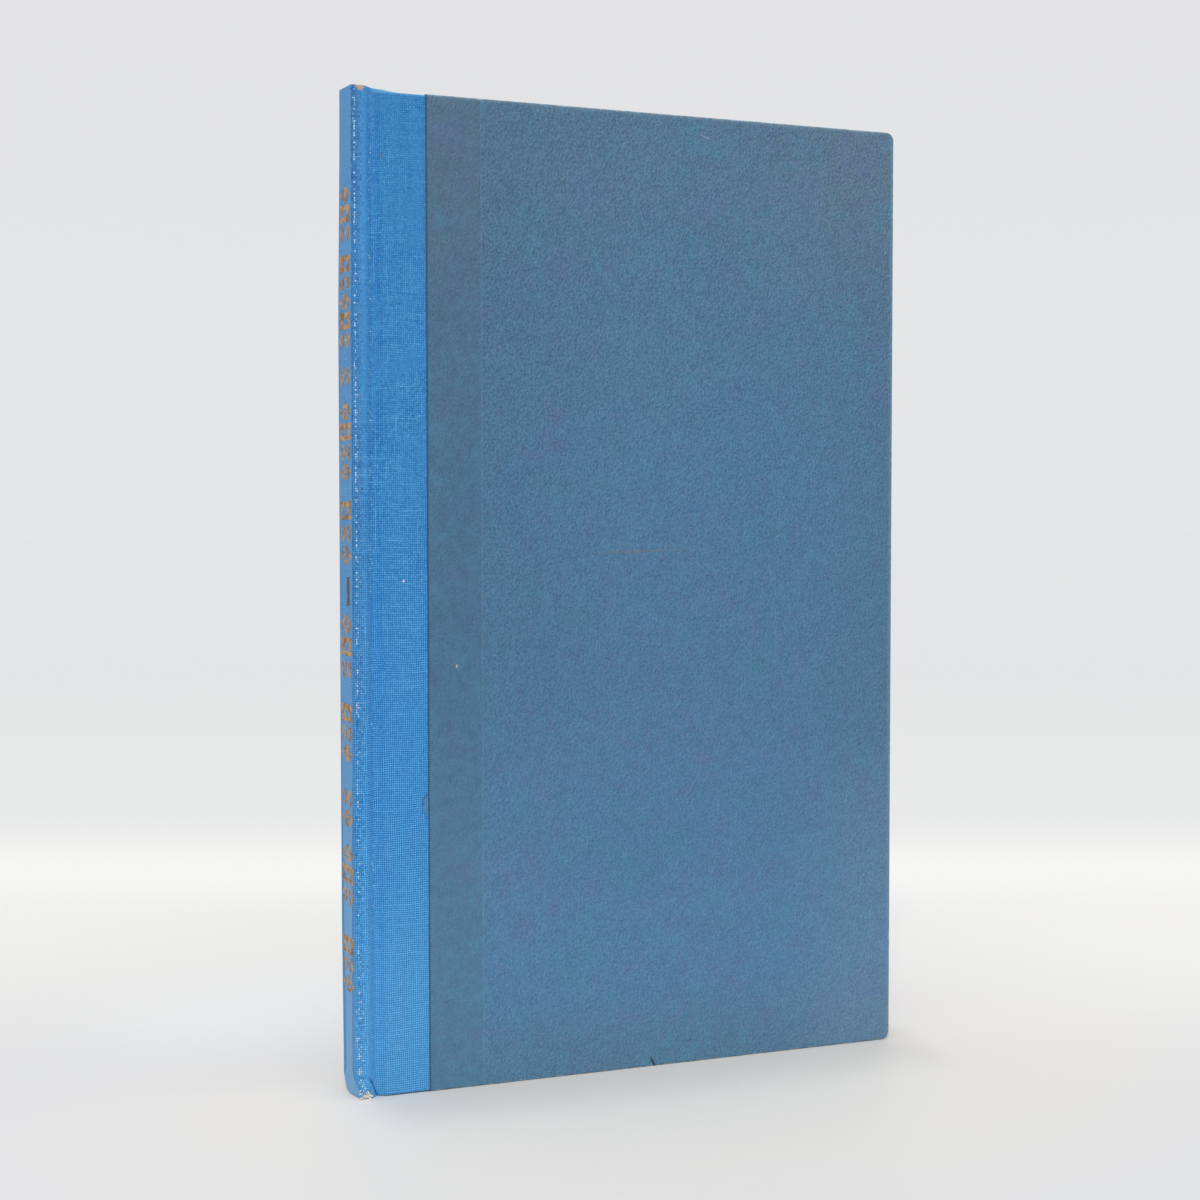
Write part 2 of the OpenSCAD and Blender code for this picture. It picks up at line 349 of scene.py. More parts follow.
def turned_in(section):
    """Where the turned-in margin lies: behind the card, under the joint, and on the board's inner face."""
    x, y = section.T
    depth, flat_half = np.abs(y), D_SPINE - SPINE_R
    inside = flat_half - 0.2
    x_in = np.maximum(x, X_SPINE + 1.5 + 0.2 * (x - X_SPINE))
    behind_card = np.where(depth <= flat_half, depth * inside / flat_half, inside + (depth - flat_half) / 3)
    under_joint = lift(x_in) - 0.6
    rise = X_EDGE - 0.5
    on_board = D_INNER + 0.2 * ease((x - X_SHOW) / 0.6)
    d_in = np.where(x < X_CARD_BACK - 0.1, np.minimum(behind_card, under_joint), under_joint)
    d_in = np.where(x > rise, between(x, rise, X_EDGE, float(lift(rise)) - 0.6, D_INNER), d_in)
    d_in = np.where(x > X_EDGE, on_board, d_in)
    return np.stack([x_in, np.where(y < 0, -1.0, 1.0) * d_in], -1)


def cloth_piece(name, sign, strip, material):
    """Cloth over one joint and one board. strip holds the places across the spine's back, from the seam."""
    section = np.array([(X_SPINE, y) for y in strip] + cloth_section(sign).tolist())
    length = np.concatenate([[0.0], np.cumsum(np.linalg.norm(np.diff(section, axis=0), axis=1))])
    length -= length[len(strip) + 3]  # from the middle of the corner's curve
    own = np.maximum(length, -STRIP_LENGTH - length)  # from the nearer corner, less than 0 on the spine's back
    x, _ = section.T
    head = between(x, X_ROLL - 0.4, X_EDGE + 4.0, Z_SPINE_HEAD, Z_HEAD)
    from_back = np.abs(length) if sign > 0 else np.abs(length + STRIP_LENGTH)
    tail = between(x, X_HINGE, X_EDGE, 0.0, Z_TAIL) + back_bump(from_back)
    inner = turned_in(section)
    way = inner - section
    total = np.linalg.norm(way, axis=1)
    way /= total[:, None]
    fold = np.array([fold_profile(t) for t in total])
    steps = fold.shape[1]
    sunk, down = fold[..., 0], fold[..., 1]
    margin = [0.9 + k * (TURN_IN - 0.9) for k in (1.0, 0.6, 0.25, 0.05)]
    near_head, near_tail = (0.5, 1.0, 1.5, 2.0, 2.7, 3.5, 4.5, 6.0), np.arange(8.0, 0.3, -0.4)
    # Each row: points (x, y), their heights, and their heights on the flat sheet
    rows = [(inner, head - m, head + total + m) for m in margin]
    for i in range(steps - 1, -1, -1):
        rows.append((section + way * sunk[:, i, None], head - down[:, i], head + sunk[:, i] - down[:, i]))
    low, high = tail + CLOTH_FOLD_R, head - CLOTH_FOLD_R
    heights = [high - d for d in near_head]
    heights += [high - 7.5 + (low - high + 17.0) * k for k in np.linspace(0, 1, 100)]
    heights += [low + d for d in near_tail]
    rows += [(section, z, z) for z in heights]
    for i in range(steps):
        rows.append((section + way * sunk[:, i, None], tail + down[:, i], tail - sunk[:, i] + down[:, i]))
    rows += [(inner, tail + m, tail - total - m) for m in margin[::-1]]
    along = length if sign < 0 else -STRIP_LENGTH - length
    points = np.array([np.column_stack([xy, z]) for xy, z, _ in rows])
    flat = np.array([np.column_stack([along, v, own]) for _, _, v in rows])
    shape = points.shape[:2]
    points, flat = points.reshape(-1, 3), flat.reshape(-1, 3)
    faces = grid_faces(*shape, turned=sign > 0)
    points = settle(points)
    points = dent_cloth(points, flat, point_normals(points, faces))
    piece = closed_sheet(name, points, faces, CLOTH_T, material, {"flat": flat})
    return piece


def dent_cloth(points, flat, normals):
    """The crease at the tail of the front joint, and the cloth lifted beside it."""
    _, v, own = flat.T
    on_front = (points[:, 1] < -4.5) & (own > -0.2) & (v > -0.1)
    top, foot = np.array(CREASE_TOP), np.array(CREASE_FOOT)
    reach = np.linalg.norm(foot - top)
    along = (foot - top) / reach
    rel = np.column_stack([own, v]) - top
    off = rel @ np.array([-along[1], along[0]])
    on_line = np.clip((rel @ along) / 0.8, 0, 1) * np.clip((reach + 0.6 - rel @ along) / 0.6, 0, 1)
    crease = -CREASE_DEPTH * np.exp(-((off / 0.32) ** 2)) * on_line
    bulge = BULGE * np.exp(-(((off + 0.9) / 0.7) ** 2)) * on_line
    return points + normals * ((crease + bulge) * on_front)[:, None]


# The card that stiffens the spine, which has set with the cloth
def card_piece(name, material):
    places, heights = np.linspace(-5.9, 5.9, 25), np.linspace(1, 0, 90)
    foot = Z_TAIL + 0.15 + back_bump(6.1 - places)
    x, head = X_SPINE + CARD_GAP, Z_SPINE_HEAD - CARD_GAP
    points = np.array([[(x, y, low + (head - low) * h) for y, low in zip(places, foot)] for h in heights])
    faces = grid_faces(*points.shape[:2], turned=True)
    return closed_sheet(name, settle(points.reshape(-1, 3)), faces, CARD_T, material)


# The side papers: the outer face, the rounded edges and the mitred margins round three edges of a board
def outline(inset, columns, heights):
    """Points (x, z) along the head, down the fore edge and back along the tail, at that inset."""
    radius = max(CORNER_R - inset, 0.3)
    right, top = X_FORE - inset, COVER_H - inset
    arc = [(right - radius * s, top - radius * c) for c, s in quarter_turn(9)]
    first = [(X_SHOW + (right - radius - X_SHOW) * c, top) for c in columns[:-1]] + arc
    side = [(right, inset + radius + (top - inset - 2 * radius) * h) for h in heights]
    second = [(x, COVER_H - z) for x, z in first[::-1]]
    return np.array(first + side + second)


def paper_piece(name, sign, material):
    columns = np.concatenate([np.linspace(0, 0.08, 5), np.linspace(0.09, 0.13, 14), np.linspace(0.14, 1.0, 46)])
    heights = np.linspace(1, 0, 74)[1:-1]
    rim, inner_r = 0.45, 0.3
    edge = outline(rim, columns, heights)
    across = len(columns)
    right = edge[across - 1 : len(edge) - across + 1]
    rows = len(right)
    face = np.array([[(X_SHOW + (x - X_SHOW) * c, z) for c in columns] for x, z in right])
    x, z = face.reshape(-1, 2).T
    sway = 0.03 * np.sin(x / 21.0 + 1.0) * np.sin(z / 34.0) + 0.02 * np.sin(x / 9.0 - z / 17.0)
    inside = np.clip(np.minimum.reduce([X_FORE - x, z, COVER_H - z]) / 6.0, 0, 1)
    deep = D_PAPER + sway * inside - 0.06 * ease((x - X_HIDDEN + 0.2) / 0.9) * inside
    nick = np.exp(-(((x - 3.7 + (z - 1.2) * 0.4) / 0.5) ** 2) - ((z - 1.0) / 1.3) ** 2)
    points = np.column_stack([x, deep - NICK_DEPTH * nick * (sign < 0), z]).tolist()
    index = np.arange(rows * across).reshape(rows, across)
    ring = np.concatenate([index[0], index[1:-1, -1], index[-1, ::-1]])
    faces = grid_faces(rows, across).tolist()
    profile = [(rim * s, D_PAPER - rim * c) for c, s in quarter_turn(7)[1:]]
    profile += [(0.0, 5.2), (0.0, 4.6), (0.0, D_INNER + inner_r)]
    profile += [(inner_r * c, D_INNER + inner_r * s) for c, s in quarter_turn(5)[1:]]
    profile += [(inset, D_INNER) for inset in (2.0, 6.0, TURN_IN)]
    for inset, d in profile:
        start = len(points)
        points += [(px, d, pz) for px, pz in outline(inset, columns, heights)]
        new = np.arange(start, start + len(ring))
        faces += [(ring[i], ring[i + 1], new[i + 1], new[i]) for i in range(len(ring) - 1)]
        ring = new
    points, faces = np.array(points, float), np.array(faces, int)
    points[:, 1] *= sign
    return closed_sheet(name, points, faces if sign < 0 else faces[:, ::-1], PAPER_T, material)


# Endpapers: the free leaf with its fold, and the half that is pasted to the board
def leaf_piece(name, sign, material):
    centre, radius = (X_FOLDS + 0.25, D_LEAF), 0.185
    angles, places = np.linspace(0, math.pi, 9), np.linspace(X_FOLDS + 1.0, X_PAGES - 0.1, 40)
    line = [(X_FOLDS + 0.8, D_LEAF + radius)]
    line += [(centre[0] - radius * math.sin(a), centre[1] + radius * math.cos(a)) for a in angles]
    line += [(x, D_LEAF - radius) for x in places]
    heights = np.linspace(LEAF_HEAD - 0.1, SQUARE + 0.1, 60)
    points = np.array([[(x, sign * d, z) for x, d in line] for z in heights])
    x, z = points[..., 0], points[..., 2]
    points[..., 0] += 0.05 * np.sin(z / 23.0) * (x > X_PAGES - 4)
    faces = grid_faces(*points.shape[:2], turned=sign < 0)
    return closed_sheet(name, points.reshape(-1, 3), faces, LEAF_T - 0.01, material)


def pastedown_piece(name, sign, material):
    xs = np.concatenate([
        np.linspace(X_FOLDS + 0.9, X_BEND, 6),
        np.linspace(X_BEND, X_EDGE, 19)[1:],
        np.linspace(X_EDGE, X_PAGES, 42)[1:],
    ])
    heights = np.linspace(LEAF_HEAD, SQUARE, 60)
    d = D_LEAF + 0.01 + 0.012 * np.sin(xs / 3.1)
    points = np.array([[(x, sign * e, z) for x, e in zip(xs, d)] for z in heights])
    faces = grid_faces(*points.shape[:2], turned=sign < 0)
    return closed_sheet(name, points.reshape(-1, 3), faces, LEAF_T, material)


# The sewn pages, with every leaf's edge and the folds of the sections
def page_piece(name, material):
    random = np.random.default_rng(7)
    leaf, section_t = 2 * D_TEXT / LEAVES, 2 * D_TEXT / SECTIONS
    fold_r = 0.65 * section_t
    fore, heads = np.linspace(0, 1, 26), np.linspace(0, 1, 16)
    rings = []
    for k in range(LEAVES):
        reach, low, high = random.normal(0, 0.05, 3)
        phase, swing = random.uniform(0, 6.3), random.uniform(0.0, 0.05)
        for y, inset in ((k * leaf, 0.09), (k * leaf + 0.018, 0.0), ((k + 1) * leaf - 0.018, 0.0)):
            rings.append((y - D_TEXT, inset, reach, low, high, phase, swing))
    rings.append((D_TEXT, 0.03, 0, 0, 0, 0, 0))
    points = []
    for y, inset, reach, low, high, phase, swing in rings:
        nearest = (math.floor(min((y + D_TEXT) / section_t, SECTIONS - 0.001)) + 0.5) * section_t - D_TEXT
        back = X_FOLDS + fold_r - math.sqrt(max(fold_r**2 - (y - nearest) ** 2, 0.0)) + inset * 0.3
        reach, low, high = np.clip((reach, low, high), -0.1, 0.1)
        right = X_PAGES - LEAF_GAP - inset + reach + swing * np.sin(fore * 5 + phase)
        top, bottom = LEAF_HEAD - LEAF_GAP - inset + high, SQUARE + LEAF_GAP + inset + low
        ring = [(x, y, top) for x in back + (right[0] - back) * heads]
        ring += [(right[i], y, top + (bottom - top) * fore[i]) for i in range(1, len(fore) - 1)]
        ring += [(x, y, bottom) for x in (back + (right[-1] - back) * heads)[::-1]]
        ring += [(back, y, bottom + (top - bottom) * h) for h in heads[1:-1]]
        points.append(ring)
    points = np.array(points)
    count, around = points.shape[:2]
    index = np.arange(count * around).reshape(count, around)
    faces = []
    for first, second in zip(index, index[1:]):
        faces += wall(first, second)
    faces += [index[0][::-1], index[-1]]
    return add_mesh(name, points.reshape(-1, 3), faces, material, sharp=20.0)


# Gilt ornament: generic bars and lozenges along the spine
def loop(kind, y, z, half_y, half_z, random):
    if kind == "bar":
        corners = [(-1, -1), (1, -1), (1, 1), (-1, 1)]
    else:
        corners = [(-1, 0), (0, -1), (1, 0), (0, 1)]
    line = []
    for (a, b), (c, d) in zip(corners, corners[1:] + corners[:1]):
        line += [(a + (c - a) * k / 7, b + (d - b) * k / 7) for k in range(7)]
    rough = random.normal(0, 0.055, (len(line), 2))
    return [(y + a * half_y + r, z + b * half_z + q) for (a, b), (r, q) in zip(line, rough)]


def gilt_shapes():
    """Bars, lozenges and open lozenges as (kind, y, z, half width, half height)."""
    shapes = []
    for number, (top, foot) in enumerate(GILT):
        if number == DASH:
            shapes.append(("bar", -2.0, (top + foot) / 2, 1.15, (top - foot) / 2))
            continue
        units = max(1, round((top - foot) / 4.3))
        pitch = (top - foot) / units
        for k in range(units):
            middle = top - (k + 0.5) * pitch
            if (k + number) % 3 == 0:
                shapes.append(("open", -0.3, middle, 5.0, pitch * 0.48))
                shapes.append(("lozenge", -0.3, middle, 1.6, pitch * 0.15))
            elif (k + number) % 3 == 1:
                shapes.append(("bar", -0.3, middle + pitch * 0.3, 4.8, 0.62))
                shapes.append(("bar", -0.3, middle - pitch * 0.3, 4.8, 0.52))
                shapes += [("bar", side, middle, 1.2, pitch * 0.16) for side in (-3.2, 2.6)]
            else:
                shapes += [("open", side, middle, 2.45, pitch * 0.46) for side in (-2.75, 2.15)]
    return shapes


def gilt_piece(name, material):
    random = np.random.default_rng(11)
    outer_x, inner_x = X_SPINE - 0.025, X_SPINE + 0.06
    points, faces = [], []
    for kind, y, z, half_y, half_z in gilt_shapes():
        loops = [loop(kind, y, z, half_y, half_z, random)]
        if kind == "open":
            share = 1.0 - 0.9 * math.hypot(half_y, half_z) / (half_y * half_z)
            loops.append(loop(kind, y, z, half_y * share, half_z * share, random))
        count = len(loops[0])
        rings = []
        for line in loops:
            for x in (outer_x, inner_x):
                rings.append(range(len(points), len(points) + count))
                points += [(x, a, b) for a, b in line]
        faces += wall(rings[0], rings[1])
        if kind == "open":
            faces += wall(rings[1], rings[3]) + wall(rings[3], rings[2]) + wall(rings[2], rings[0])
        else:
            faces += [tuple(rings[0])[::-1], tuple(rings[1])]
    return add_mesh(name, settle(points), faces, material)


# Frayed threads where the cloth is worn through
def thread_piece(name, centres, material, seed):
    """Short tapered threads, each from a place (x, y, z) in a direction, of a length and a radius."""
    random = np.random.default_rng(seed)
    points, faces, sides, steps, lowest = [], [], 6, 6, 0.16
    for place, heading, length, radius in centres:
        place, heading = np.array(place, float), np.array(heading, float)
        heading /= np.linalg.norm(heading)
        curl = random.normal(0, 0.5, 3)
        start = len(points)
        for k in range(steps + 1):
            t = k / steps
            middle = place + heading * length * t + curl * length * t * t * 0.5
            middle[2] = max(middle[2], lowest)
            side = np.cross(heading, (0.3, 0.2, 1.0))
            side /= np.linalg.norm(side)
            other = np.cross(heading, side)
            wide = radius * math.sin(math.pi * (0.12 + 0.8 * t)) ** 0.6
            angles = np.arange(sides) * 2 * math.pi / sides
            points += [middle + wide * (side * math.cos(a) + other * math.sin(a)) for a in angles]
        for k in range(steps):
            for i in range(sides):
                a, b = start + k * sides + i, start + k * sides + (i + 1) % sides
                faces.append((a, b, b + sides, a + sides))
        ends = np.arange(start, start + sides), np.arange(start, start + sides) + steps * sides
        faces += [ends[0][::-1], ends[1]]
    return add_mesh(name, points, faces, material)


# Book cloth: a plain weave with uneven threads, bleached and with a painted sheen on the spine, worn white along the
# ridges, and with painted light and shade
def cloth_material():
    look = Look("book_cloth")
    s, v, own, flat = look.attribute("flat")
    _, y, _, rest = look.attribute("rest")
    # The weave: u counts the threads across and w those up, v is the height and own the way from the corner
    sway = look.noise(flat, 0.09, 1.0)
    u, w = (s + sway) / PITCH_U, (v + sway) / PITCH_W
    iu, iw = u.floor(), w.floor()
    slub_up = look.noise(look.vector(iu * 7.31, v * 0.09, 2.0), 1.0, 1.0)
    slub_across = look.noise(look.vector(s * 0.12, iw * 7.31, 9.0), 1.0, 1.0)
    su, sw = (u * math.pi).sin(), (w * math.pi).sin()
    parity = su * sw
    up = su.abs() * (parity * 0.3 + 0.7)
    across = sw.abs() * (0.7 - parity * 0.3)
    height = up.max(across)
    on_top = look.step(up - across, -0.08, 0.08)
    slub = slub_across + (slub_up - slub_across) * on_top
    cell = look.white(look.vector(iu, iw, 4.0))
    # The strip on the spine, bleached and with a painted sheen, which ends at bound. Lower down, bound moves onto the
    # corner's rounding, and at the tail onto the bumped facet, where the strip's grey is painted shade of those faces
    below = COVER_H - v
    bound = 0.2 - below * 0.0045 - look.step(v, 110.0, 10.0) * 2.0 + look.step(v, 6.0, 0.5) * 3.6
    strip = look.step(own - bound, 0.15, -0.35)
    patch = look.noise(look.vector(s * 0.12, v * 0.035, 5.0), 1.0, 2.0)
    clear = look.noise(look.vector(s * 0.09, v * 0.09, 7.0), 1.0, 2.0)
    # The roll of the joint, which is smoother towards the head and has a painted highlight there
    band = own.bell(3.0, 2.2) * look.step(v, 110.0, 200.0)
    # The threads show more strongly and more evenly towards the tail
    contrast = (0.85 + clear * 1.5) * (0.72 + below * (below * 0.0000187 + 0.0014))
    contrast = contrast * (1.0 - strip * 0.5 - band * 0.5)
    lower = look.step(v, 150.0, 70.0)
    fuzz = look.noise(flat, 2.3, 1.0)
    bright = look.step(slub_up, 0.14, 0.3) * look.step(up, 0.35, 0.75)
    bright = bright + look.step(slub_across, 0.1, 0.26) * look.step(across, 0.35, 0.75)
    crown = look.step(height, 0.2, 0.95)
    threads = (crown - 0.7) * 0.62 + (crown - 0.57) * lower * 0.6
    threads = threads + (cell - 0.5) * 0.4 * (1.0 - lower * 0.35) + bright * 0.6
    tone = threads * (1.0 + look.step(v, 80.0, 20.0) * 0.15)
    tone = tone + (slub * 0.85 + fuzz * 0.7) * (1.0 - lower * 0.65)
    blotch = look.noise(flat, 0.05, 3.0) * 0.16 + look.noise(flat, 0.5, 2.0) * 0.12
    light = 1.0 + tone * contrast + blotch
    colour = look.mix(look.step(light, 0.3, 1.8), (26, 104, 172), (90, 168, 223))
    # Painted light and shade: the cloth darker towards the head and lighter towards the tail
    level = 1.08 - v * 0.0010 - v.bell(135.0, 70.0) * 0.03 - look.step(v, 90.0, 40.0) * 0.03
    colour = look.lighten(colour, level)
    colour = look.mix(look.step(v, 70.0, 10.0) * 0.2, colour, (108, 176, 222))
    # The strip's grey, paler towards the tail: bleached colour and painted sheen
    grey = look.mix(look.step(light, 0.5, 1.5), (62, 126, 185), (112, 172, 221))
    grey = look.mix(look.step(v, 120.0, 5.0) * 0.65, grey, (134, 178, 214))
    colour = look.mix(strip * (0.9 + patch * 0.4), colour, grey)
    # Painted shade: a dark line in the crease along the spine's corner, and darker cloth beside it on the side that
    # faces away from the light. Painted light on the roll and at the bottom of the joint, and greyer cloth beside the
    # corner higher up
    line = (own - bound).bell(0.0, 0.45) * look.step(look.noise(flat, 0.5, 2.0), -0.2, 0.1)
    colour = look.mix(line * 0.55, colour, (40, 86, 136))
    near_head = look.step(v, 185.0, 208.0)
    colour = look.mix(own.bell(0.7, 1.0) * (0.12 + near_head * 0.22 + patch * 0.25), colour, (38, 92, 148))
    # Painted highlight on the roll and painted light at the bottom of the joint
    colour = look.lighten(colour, 1.0 + own.bell(2.8, 2.6) * 0.1 + band * 0.16 + own.bell(5.6, 1.3) * 0.07)
    colour = look.mix(own.bell(1.6, 1.8) * look.step(v, 60.0, 100.0) * 0.14, colour, (96, 102, 106))
    # Threads worn white, most along the corner and fewer along the joint
    spread = look.noise(look.vector(own * 0.3, v * 0.05, 3.0), 1.0, 2.0) * 0.5 + 0.5
    foot = (own - 0.4 - (14.0 - v).max(0.0) * 0.08).bell(0.0, 1.7) * look.step(v, 30.0, 8.0)
    ridge = own.bell(0.75, 0.55) * (spread * 1.5 + 0.3 - lower * 0.5)
    ridge = ridge + own.bell(1.5, 2.2) * spread * (0.1 + lower * 0.32) + foot * 0.45
    ridge = ridge + own.bell(4.7, 1.2) * look.step(spread, 0.35, 0.6) * 0.42 + own.bell(7.0, 30.0) * 0.012
    dot = look.step(distance((u.fract() - 0.5) * PITCH_U, (w.fract() - 0.5) * PITCH_W), 0.29, 0.08)
    worn = look.white(look.vector(iu, iw, 8.0))
    fleck = look.step(worn + ridge * 0.6, 0.98, 1.32) * dot
    colour = look.mix(fleck * 0.85, colour, (198, 222, 238))
    pits = own.bell(1.2, 1.9) * (0.18 + near_head * 0.16 + lower * 0.1)
    pit = look.white(look.vector(iu, iw, 15.0)).over(1.0 - pits) * dot
    colour = look.mix(pit * 0.5, colour, (26, 74, 118))
    # Marks of use on the front joint only
    front = look.step(y, -4.0, -5.0)
    mask = distance(own - 2.0, v - 222.6).bell(0.0, 1.8)
    bare = look.step(mask + look.noise(rest, 1.8, 3.0) * look.step(mask, 0.0, 0.1) * 2.0, 0.3, 1.0) * front
    colour = look.mix(bare * 0.8, colour, (204, 158, 100))
    mask = look.step(v, 3.2, 0.2) * look.step(v, -2.0, -1.0) * own.bell(1.5, 2.5)
    frayed = look.step(mask + look.noise(rest, 1.6, 3.0) * look.step(mask, 0.0, 0.15) * 1.4, 0.6, 0.85) * front
    colour = look.mix(frayed, colour, (222, 214, 196))
    # Painted shade: a dark line along the crease at the tail of the front joint
    crease = (own * 0.842 + v * 0.538 - 4.85).bell(0.0, 0.6) * look.step(v, 5.6, 3.6) * own.bell(4.4, 5.0)
    colour = look.mix(crease * front * 0.9, colour, (20, 64, 122))
    speck = distance(own - 12.3, v - 114.8).bell(0.0, 0.42) * front
    colour = look.mix(speck, colour, (228, 222, 240))
    stain = distance(own - 7.5, v - 207.9).bell(0.0, 0.95) * front
    colour = look.mix(stain * 0.6, colour, (82, 102, 128))
    scuff = distance((own - 17.8) / 1.55, (v - 64.5) / 2.65) + look.noise(rest, 1.3, 3.0) * 0.9
    colour = look.mix(look.step(scuff, 1.05, 0.85) * front * 0.6, colour, (78, 124, 164))
    border = scuff.bell(0.95, 0.2) * (0.3 + look.step(v, 63.5, 65.5) * 0.55)
    colour = look.mix(border * front, colour, (56, 84, 116))
    # The head edge catches the light
    edge = look.step(v, 221.2, 221.9) * look.step(v, 223.4, 222.6)
    colour = look.mix(edge * look.step(own, 4.0, 8.0) * 0.5, colour, (128, 196, 228))
    relief = height * (1.0 - strip * 0.5) * 0.7 + slub * 0.7 + fuzz * 0.5
    return look.finish(
        colour, 0.88, relief, depth=0.09, strength=0.8,
        Specular_IOR_Level=0.15, Sheen_Weight=0.04, Sheen_Roughness=0.5,
    )


# Side paper: grained, mottled and toned towards its edges, with painted light and shade: darker and greyer towards
# the head, lighter towards the tail, and on each grain
def paper_material():
    look = Look("side_paper")
    x, y, z, rest = look.attribute("rest")
    front = look.step(y, -3.0, -5.0)
    from_head, from_fore = COVER_H - z, X_FORE - x
    fine = look.noise(rest, 1.7)
    middle = look.noise(rest, 0.42, 3.0, 0.6)
    broad = look.noise(rest, 0.028, 3.0, 0.55)
    cells = look.out(look.node("TexVoronoi", {"Vector": rest, "Scale": 1.9}, feature="SMOOTH_F1"), "Distance")
    pebbles = look.step(cells + fine * 0.6, 0.15, 0.8)
    # Painted shade of the grain's relief: each grain is lighter on the side towards the head and the spine
    places = (look.vector((x - shift) * 1.12, y, (z + shift) * 0.92) for shift in (0.0, 0.18))
    grain_and_painted_shade, shifted = (look.noise(place, 1.9, 1.0) for place in places)
    grain_and_painted_shade = grain_and_painted_shade * 1.1 - shifted * 0.4
    over_cloth = look.step(x, -37.6, -38.3)
    # The grain's painted shade is weaker over the cloth and towards the tail
    deep = 1.0 - over_cloth * 0.4 - look.step(z, 190.0, 60.0) * 0.25
    tone = 1.02 + grain_and_painted_shade * deep * 0.72 + (0.5 - pebbles) * 0.08 + fine * 0.15 + middle * 0.32 + broad * 0.14
    # Toning towards the edges, over the cloth and at random; the greyer colour towards the head is painted shade
    toned_and_shaded = look.step(from_head, 95.0, 0.0) * 0.85 + look.step(from_fore, 26.0, 0.0) * 0.4
    toned_and_shaded = (toned_and_shaded + look.step(z, 24.0, 0.0) * 0.7 + over_cloth * 0.7 + broad * 0.8).min(1.0).max(0.0)
    colour = look.mix(toned_and_shaded, (74, 117, 152), (78, 111, 136))
    colour = look.mix(over_cloth * 0.35, colour, (66, 114, 148))
    colour = look.mix(over_cloth * look.step(z, 140.0, 210.0) * 0.4, colour, (88, 106, 122))
    colour = look.mix(look.step(x, 5.0, 60.0) * look.step(from_head, 60.0, 0.0) * 0.4, colour, (96, 114, 130))
    colour = look.mix(look.step(x, 30.0, 64.0) * look.step(z, 90.0, 50.0) * 0.4, colour, (90, 116, 142))
    hue = middle * 0.5 + look.noise(rest, 0.11, 4.0, 0.65)
    colour = look.mix(look.step(hue, 0.0, 0.3) * 0.75, colour, (68, 120, 146))
    colour = look.mix(look.step(hue, 0.0, -0.3) * 0.7, colour, (86, 111, 150))
    # Painted light and shade: lighter towards the tail, darkest from the middle up, and a little lighter at the head
    tone = tone * (0.9 + look.step(z, 100.0, 0.0) * 0.155 + look.step(z, 150.0, 222.0) * 0.04)
    darker = look.step(x, 5.0, -42.0) * look.step(z, 60.0, 110.0) * 0.08
    paler = look.step(x, 35.0, 60.0) * look.step(z, 80.0, 50.0) * 0.09
    tone = tone * (1.0 - darker + paler)
    streak = look.noise(look.vector(x * 2.2, y, z * 0.22), 1.0, 2.0)
    # Over the cloth: streaks and mottling, and a painted highlight along the ridge over the cloth's hidden edge
    tone = tone + over_cloth * (streak * 0.14 + middle * 0.16) + (x + 37.9).bell(0.0, 0.35) * 0.16
    # The grain's painted shade is also added as the same grey in red, green and blue
    colour = look.add_grey(look.lighten(colour, tone), grain_and_painted_shade * deep * 0.08)
    # Painted highlight along the head and the fore edge, where the edges catch the light
    painted_edge_highlight = look.step(from_head, 1.2, 0.1) * 0.25 + look.step(from_fore, 1.6, 0.2) * 0.3
    colour = look.mix(painted_edge_highlight, colour, (128, 152, 168))
    # A dark line along the paper's edge where it laps over the cloth
    colour = look.mix(look.step(x, -50.25, -50.6) * 0.75, colour, (38, 66, 100))
    # Worn edges show the pale core of the paper
    rim = look.step(from_fore.min(z).min(from_head), 0.9, 0.1) * look.step(y.abs(), 5.3, 6.0)
    worn = look.step(rim + look.noise(rest, 0.7, 4.0) * 1.4, 0.75, 1.1)
    colour = look.mix(worn * 0.55, colour, (150, 172, 186))
    # Marks of use on the front
    wander = look.noise(look.vector(0.0, z * 0.3), 1.0) * 0.5
    scratch = (x - 26.2 + wander).bell(0.0, 0.2) * look.step(z, 212.0, 213.5)
    colour = look.mix(scratch * front * 0.7, colour, (52, 78, 104))
    rub = x.bell(17.2, 3.0) * (z - 217.4 + (x - 17.2) * 0.35).bell(0.0, 0.5)
    rub = look.step(rub + look.noise(rest, 1.1, 3.0), 0.5, 0.8)
    colour = look.mix(rub * front * 0.5, colour, (132, 156, 172))
    brown = x.bell(3.0, 19.0) * (z - 121.0 - x * 0.03).bell(0.0, 0.42)
    brown = brown * look.step(look.noise(rest, 0.5, 3.0), -0.25, 0.15)
    colour = look.mix(brown * front * 0.75, colour, (112, 112, 104))
    nick = (x - 3.8 + (z - 1.4) * 0.5).bell(0.0, 0.55) * look.step(z, 2.6, 1.2)
    colour = look.mix(nick * front, colour, (26, 40, 58))
    spots = (
        (-44.0, 95.6, 0.5, (206, 196, 184)), (-16.1, 210.3, 0.45, (34, 50, 72)), (-46.4, 98.0, 0.4, (112, 120, 108)),
        (14.0, 92.0, 0.4, (58, 88, 118)), (40.5, 160.0, 0.35, (52, 82, 110)),
    )
    for spot_x, spot_z, radius, shade in spots:
        spot = distance((x - spot_x) * 1.6, (z - spot_z) * 0.8).bell(0.0, radius)
        colour = look.mix(spot * front * 0.85, colour, shade)
    relief = middle * 0.5 + fine * 0.3 - pebbles
    roughness = 0.62 + middle * 0.2
    return look.finish(colour, roughness, relief, depth=0.05, strength=0.7, Specular_IOR_Level=0.3)


def from_edges(x, z):
    """How far a place on an endpaper or a page is from its edges."""
    return (X_PAGES - x).min(z - SQUARE).min(LEAF_HEAD - z)


